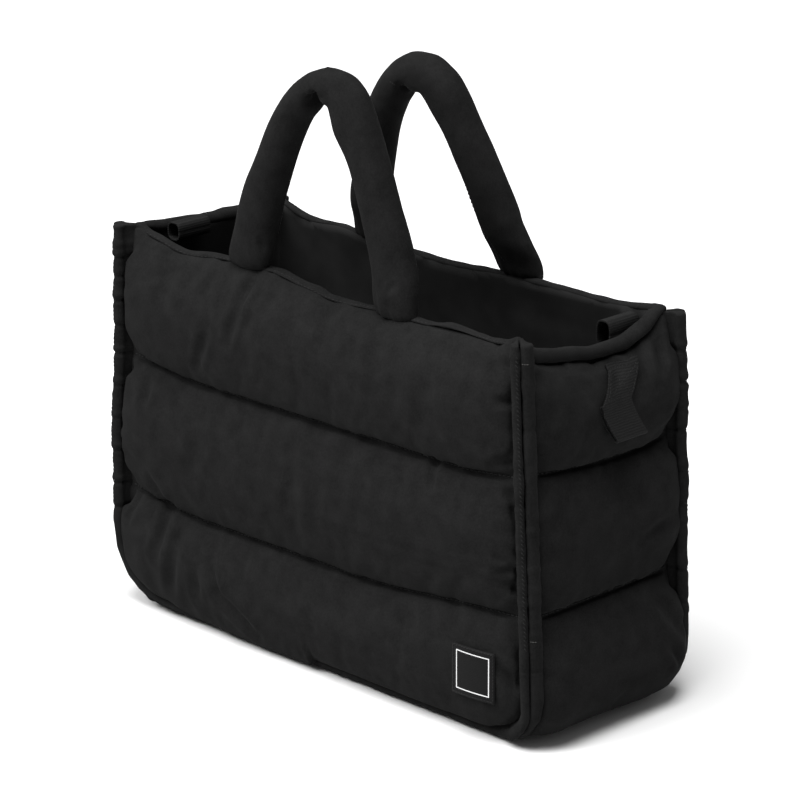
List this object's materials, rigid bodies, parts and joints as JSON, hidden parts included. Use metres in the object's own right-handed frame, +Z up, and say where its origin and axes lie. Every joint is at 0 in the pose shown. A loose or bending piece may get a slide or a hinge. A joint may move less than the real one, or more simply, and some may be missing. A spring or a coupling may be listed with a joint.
{
  "type": "puffer tote bag",
  "caption": "Open padded tote bag with horizontally quilted channels, bound corner flanges, round padded handles, webbing tabs and a plain label patch.",
  "frame": {"origin": "on the floor, under the middle of the body", "axes": "+Z up, +X along the width to the right seen from the front, -Y out of the front panel"},
  "size_m": [0.4444, 0.1856, 0.4263],
  "materials": {
    "shell": "matte brushed microfibre",
    "lining": "matte woven lining",
    "webbing": "ribbed woven webbing",
    "label": "smooth woven patch with a thin pale frame"
  },
  "bodies": {
    "root": {"front_panel": "shell", "back_panel": "shell", "gusset": "shell", "lining": "lining", "front_panel_binding": "shell", "front_gusset_binding": "shell", "back_panel_binding": "shell", "back_gusset_binding": "shell", "rim_binding": "shell", "handle_front": "shell", "handle_back": "shell", "outer_tab_right": "webbing", "outer_tab_left": "webbing", "inner_loop_right": "webbing", "inner_loop_left": "webbing", "label_patch": "label"}
  },
  "joints": []
}
